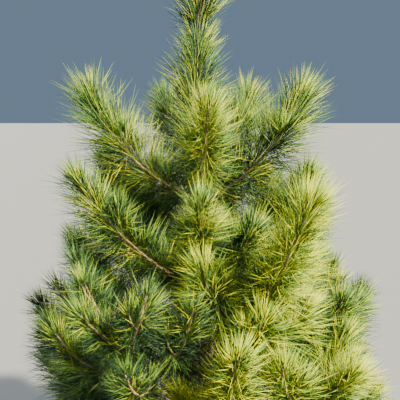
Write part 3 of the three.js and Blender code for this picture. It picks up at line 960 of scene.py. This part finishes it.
class PINE_OT_needles(Operator):
    """Adds the needles: bundles in a close spiral round every shoot, each spray in its own colour"""

    bl_idname = "pine.needles"
    bl_label = "Needles"

    seed = 20
    specular = 0.1

    # The most needles in a piece, their room to the ground, and where along them limbs are looked for.
    most_needles = 31600
    ground_room = 6
    limb_tests = (0.25, 0.6, 1.0)

    # Bundles stand in a spiral, and lean on their shoot more and more towards its end.
    golden_turn = 137.508
    turn_sway = 6
    angles = (64, 26)
    angle_power = 1.6
    angle_sway = 17
    foot_share = 0.6
    overlap = 34

    # Needles are a little longer along the middle of a shoot, and shorter at its end.
    foot_length = 0.86
    middle_gain = 0.2
    middle_stretch = 1.15
    end_loss = 0.14
    end_from = 0.7
    end_span = 0.3
    length_spread = 0.32

    # Bundles crowded round a shoot's end.
    end_bundles = 9
    end_angles = (6, 22)
    end_out = 2
    end_back = 6
    end_length = 92
    end_spread = 0.2
    end_twig = 0.85

    # One needle: its sides, where it bends, and how it parts from the others of its bundle.
    sides = 3
    bend_share = 0.42
    parting = 1.7
    least_bend = 0.5
    lift = 0.05
    stray = 0.1
    shortening = 0.12

    # Tones: how many bundles make a spray, how far both stray, and the gain towards a shoot's end.
    tone_names = ("deep", "shade", "middle", "fresh", "light", "gold", "dry")
    spray_size = 12
    spray_drift = 0.8
    bundle_drift = 1.8
    end_gain = 1.5
    even_share = 0.6
    dead_share = 0.05
    dead_reach = 0.5
    # Painted light: sprays towards the side the key light comes from are dealt lighter tones, over this
    # heading and reach.
    lit_side_heading = -30
    lit_side_reach = 1100
    # Base tone of each whorl, the sleeves last: the lower whorls are dealt darker sprays as painted shade.
    tier_tone_and_shade = (1.35, 1.6, 1.7, 1.75, 2.1, 2.1)
    # Painted light and shade: a listed mass is dealt lighter sprays where it stands in light and darker
    # ones where it stands in shade.
    mass_light_and_shade = {
        "tier2_front": 2.0, "tier3_front_right": 1.6, "tier2_front_right": 1.3, "tier4_front_left": 0.6,
        "tier4_front": 0.6, "tier3_front_left": -0.7, "tier5_front": 0.7, "leader": -0.4,
        "tier3_right": -1.0, "tier2_back_right": -1.2, "tier5_left": 0.4, "tier4_front_right": -0.3,
        "tier1_front_left": -1.0, "tier2_left": -0.9, "tier3_left": -0.7,
    }

    # Shares of a needle's full length by mass, and of the spacing and the length by kind of shoot.
    reach = {
        "tier5_front": 0.86, "tier4_front": 0.85, "tier5_left": 1.2, "tier5_right": 1.2,
        "tier5_back_left": 1.12, "tier5_back_right": 1.12, "tier3_front_left": 0.76, "tier3_left": 0.86,
    }
    kind_pitch = {"main": 0.66, "side": 1.05, "twig": 1.6, "sleeve": 0.5}
    kind_length = {"main": 1.0, "side": 0.96, "twig": 0.8, "sleeve": 0.98}

    def bundles(self, shoot, mass, random, needles):
        """Feet, ways, axes, lengths and shares along the shoot of one shoot's bundles."""
        line, start = shoot["line"], shoot["from"]
        length = path_length(line) * (1 - start)
        pitch = needles.pitch / MM * self.kind_pitch[shoot["kind"]]
        bare = shoot["bare"] - (self.overlap if shoot["kind"] == "main" else 0)
        count = max(round((length - bare) / pitch), 1)
        along = bare + (length - bare) * (np.arange(count) + 0.5) / count
        t = along / length
        share = mix(start, 1, t)
        way = ways_along(line, share)
        middle = points_on(line, share)
        turn = self.golden_turn * np.arange(count) + 360 * random.random()
        out = outward(square_to(way), turn + random.normal(0, self.turn_sway, count))
        low, high = shoot.get("angles", self.angles)
        angle = mix(low, high, np.maximum(t, 0)**self.angle_power)
        angle = np.radians(angle + random.normal(0, self.angle_sway, count))
        if shoot["kind"] == "sleeve":
            radius = np.array([trunk_radius(z) for z in middle[:, 2]])
        else:
            radius = mix(shoot["radii"][0], shoot["radii"][1], np.maximum(t, 0)) * self.foot_share
        foot = middle + out * radius[:, None]
        direction = way * np.cos(angle)[:, None] + out * np.sin(angle)[:, None]
        gain = self.middle_gain * np.sin(np.pi * np.clip(t * self.middle_stretch, 0, 1))
        taper = self.foot_length + gain - self.end_loss * np.clip(t - self.end_from, 0, 1) / self.end_span
        reach = needles.length / MM * taper * (1 - self.length_spread * random.random(count))
        reach *= self.kind_length[shoot["kind"]] * self.reach.get(mass["name"], 1)
        return foot, direction, way, reach, t

    def tip_bundles(self, shoot, random):
        """The bundles that crowd round a shoot's end."""
        if shoot["kind"] == "sleeve" and shoot["line"][-1][2] < TRUNK_TOP:
            return None
        count = self.end_bundles
        end = np.ones(count)
        way = ways_along(shoot["line"], end)
        turn = self.golden_turn * np.arange(count)
        out = outward(square_to(way), turn)
        angle = np.radians(mix(*self.end_angles, random.random(count)))
        direction = way * np.cos(angle)[:, None] + out * np.sin(angle)[:, None]
        back = self.end_back * random.random(count)
        foot = points_on(shoot["line"], end) + out * self.end_out - way * back[:, None]
        reach = self.end_length * (1 - self.end_spread * random.random(count))
        return foot, direction, way, reach * (self.end_twig if shoot["kind"] == "twig" else 1), end

    def tones(self, mass, t, foot, random):
        """One colour for each spray of neighbouring bundles, yellower at the ends, with painted light and
        shade: lighter on the key light's side, darker on the lower whorls, and shifted lighter on some
        masses and darker on others.
        """
        # Painted light and shade: darker sprays on the lower whorls, and lighter or darker sprays on the
        # listed masses.
        base = self.tier_tone_and_shade[mass["tier"]] + self.mass_light_and_shade.get(mass["name"], 0)
        # Painted light: lighter sprays towards the key light's side.
        base = base + foot @ compass(self.lit_side_heading, 0) / self.lit_side_reach
        spray = np.arange(len(t)) // self.spray_size
        drift = random.normal(0, self.spray_drift, spray[-1] + 1)[spray]
        drift = drift + random.normal(0, self.bundle_drift, len(t))
        dry = len(self.tone_names) - 1
        tone = np.clip(np.rint(base + drift + self.end_gain * (t - self.even_share)), 0, dry - 1)
        dead = random.random(len(t)) < self.dead_share * np.clip(self.dead_reach - t, 0, 1)
        return np.where(dead, dry, tone).astype(int)

    def mass_needles(self, mass, needles, random):
        """Every needle of a mass: foot, first way, last way, length and tone."""
        rows = []
        for shoot in mass["shoots"]:
            parts = [self.bundles(shoot, mass, random, needles), self.tip_bundles(shoot, random)]
            parts = [np.concatenate(each) for each in zip(*(part for part in parts if part))]
            foot, direction, way, reach, t = parts
            rows.append((foot, direction, way, reach, self.tones(mass, t, foot, random)))
        foot, direction, way, reach, tone = (np.concatenate(each) for each in zip(*rows))
        many = needles.bundle
        foot, direction, way = (np.repeat(each, many, axis=0) for each in (foot, direction, way))
        reach, tone = np.repeat(reach, many), np.repeat(tone, many)
        parting = math.tan(needles.spread) / self.parting
        direction = unit(direction + random.normal(0, parting, direction.shape))
        reach = reach * (1 - self.shortening * random.random(len(reach)))
        bend = needles.bend * (self.least_bend + random.random(len(reach)))[:, None]
        stray = random.normal(0, self.stray, direction.shape)
        last = unit(direction + way * bend + UP * self.lift + stray)
        return foot, direction, last, reach, tone

    def needle_mesh(self, foot, first, last, reach, width, random):
        """Closed needles as points: the foot, a ring at the bend, and the tip."""
        knee = foot + first * (reach * self.bend_share)[:, None]
        side = unit(np.cross(first, random.normal(0, 1, first.shape)))
        other = np.cross(first, side)
        points = np.empty((len(foot), self.sides + 2, 3))
        points[:, 0] = foot
        for k in range(self.sides):
            turn = 2 * math.pi * k / self.sides
            points[:, 1 + k] = knee + (side * math.cos(turn) + other * math.sin(turn)) * width / 2
        points[:, -1] = knee + last * (reach * (1 - self.bend_share))[:, None]
        return points

    def faces(self, count):
        """Corners and starts of every needle's triangles: on each side one to its foot, one to its tip."""
        tip = self.sides + 1
        pattern = []
        for k in range(self.sides):
            j = (k + 1) % self.sides
            pattern += [0, 1 + j, 1 + k, 1 + k, 1 + j, tip]
        corners = (np.array(pattern)[None] + (tip + 1) * np.arange(count)[:, None]).ravel()
        return corners, np.arange(2 * self.sides * count) * 3

    def room_in(self, pieces, tier, count):
        """The rows of the first piece of a whorl that has room for so many more needles."""
        part = 0
        while sum(len(row[0]) for row in pieces.get((tier, part), [])) + count > self.most_needles:
            part += 1
        return pieces.setdefault((tier, part), [])

    def execute(self, context):
        needles = context.scene.pine_needles
        limbs = np.concatenate(tree()[0])
        materials = [
            plain_material(f"Needles {name}", getattr(needles, name), needles.roughness, self.specular)
            for name in self.tone_names
        ]
        pieces = {}
        for place, mass in enumerate(tree()[1]):
            random = np.random.default_rng(self.seed + place)
            foot, first, last, reach, tone = self.mass_needles(mass, needles, random)
            width = needles.width / MM * min(self.reach.get(mass["name"], 1), 1)
            points = self.needle_mesh(foot, first, last, reach, width, random)
            kept = points[..., 2].min(axis=1) > self.ground_room
            kept &= self.off_limbs(points, limbs if "split" in mass else limbs[TRUNK_STRETCHES:])
            rows = self.room_in(pieces, mass["tier"], kept.sum())
            rows.append((points[kept], tone[kept], mass["name"]))
        for (tier, part), rows in pieces.items():
            points = np.concatenate([row[0] for row in rows])
            tones = np.concatenate([row[1] for row in rows])
            corners, starts = self.faces(len(points))
            name = f"needles_{tier + 1}_{'abcdef'[part]}"
            slots = np.repeat(tones, 2 * self.sides)
            piece = mesh_object(name, points.reshape(-1, 3) * MM, corners, starts, materials, slots)
            hand_over(piece, "needles", *(f"{row[2]}_needles" for row in rows))
        return {"FINISHED"}

    def off_limbs(self, points, limbs):
        """Which needles keep out of the trunk and the bare boughs."""
        keep = np.ones(len(points), bool)
        for share in self.limb_tests:
            place = mix(points[:, 0], points[:, -1], share)
            for limb in limbs:
                along = limb[3:6] - limb[:3]
                t = np.clip((place - limb[:3]) @ along / (along @ along), 0, 1)
                near = np.linalg.norm(place - limb[:3] - t[:, None] * along, axis=1)
                keep &= near > mix(limb[6], limb[7], t)
        return keep


class PINE_OT_stage(Operator):
    """Adds the floor, the light and the camera"""

    bl_idname = "pine.stage"
    bl_label = "Stage"

    floor_gap = 0.0005
    floor_roughness = 0.9
    floor_specular = 0.5
    light_distance = 6
    film_width = 36
    nearest = 0.02

    def execute(self, context):
        stage = context.scene.pine_stage
        bpy.ops.object.select_all(action="DESELECT")
        bpy.ops.mesh.primitive_plane_add(size=stage.floor_size, location=(0, 0, -self.floor_gap))
        floor = context.object
        floor.name = "floor"
        bpy.ops.object.transform_apply(location=True, rotation=True, scale=True)
        floor.data.materials.append(
            plain_material("Floor", stage.floor_colour, self.floor_roughness, self.floor_specular)
        )
        self.light(context.scene, stage)
        tilt = (math.pi / 2 - stage.pitch, 0, 0)
        bpy.ops.object.camera_add(location=stage.eye, rotation=tilt)
        camera = context.object
        camera.name = "camera"
        camera.data.lens = stage.lens
        camera.data.sensor_width = self.film_width
        camera.data.clip_start = self.nearest
        camera.data.clip_end = stage.floor_size
        context.scene.camera = camera
        return {"FINISHED"}

    def light(self, scene, stage):
        world = bpy.data.worlds.new("Sky")
        world.use_nodes = True
        back = world.node_tree.nodes["Background"]
        back.inputs["Color"].default_value = (*stage.sky_colour, 1)
        back.inputs["Strength"].default_value = stage.sky_strength
        scene.world = world
        for kind in ("key", "fill"):
            heading = math.degrees(getattr(stage, f"{kind}_heading"))
            rise = math.degrees(getattr(stage, f"{kind}_rise"))
            toward = Vector(compass(heading, rise))
            bpy.ops.object.light_add(type="SUN", location=toward * self.light_distance)
            light = bpy.context.object
            light.name = f"{kind}_light"
            light.rotation_euler = toward.to_track_quat("Z", "Y").to_euler()
            light.data.energy = getattr(stage, f"{kind}_strength")
            light.data.color = getattr(stage, f"{kind}_colour")
            light.data.angle = getattr(stage, f"{kind}_softness")


PIECES = (PINE_OT_trunk, PINE_OT_boughs, PINE_OT_twigs, PINE_OT_buds, PINE_OT_needles, PINE_OT_stage)


class PINE_PT_tree(Panel):
    """Lists the pieces of the tree and their settings"""

    bl_label = "Young pine"
    bl_idname = "PINE_PT_tree"
    bl_space_type = "VIEW_3D"
    bl_region_type = "UI"
    bl_category = "Young pine"

    def draw(self, context):
        for piece in PIECES:
            self.layout.operator(piece.bl_idname)
        for group in (context.scene.pine_bark, context.scene.pine_needles, context.scene.pine_stage):
            box = self.layout.box()
            for name in type(group).__annotations__:
                box.prop(group, name)


CLASSES = (PineNeedles, PineBark, PineStage, *PIECES, PINE_PT_tree)


def register():
    for each in CLASSES:
        bpy.utils.register_class(each)
    bpy.types.Scene.pine_needles = PointerProperty(type=PineNeedles)
    bpy.types.Scene.pine_bark = PointerProperty(type=PineBark)
    bpy.types.Scene.pine_stage = PointerProperty(type=PineStage)


def unregister():
    del bpy.types.Scene.pine_stage
    del bpy.types.Scene.pine_bark
    del bpy.types.Scene.pine_needles
    for each in reversed(CLASSES):
        bpy.utils.unregister_class(each)


def main():
    register()
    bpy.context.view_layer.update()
    bpy.ops.pine.stage()
    bpy.ops.pine.trunk()
    bpy.ops.pine.boughs()
    bpy.ops.pine.twigs()
    bpy.ops.pine.buds()
    bpy.ops.pine.needles()
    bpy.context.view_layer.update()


if __name__ == "__main__":
    main()
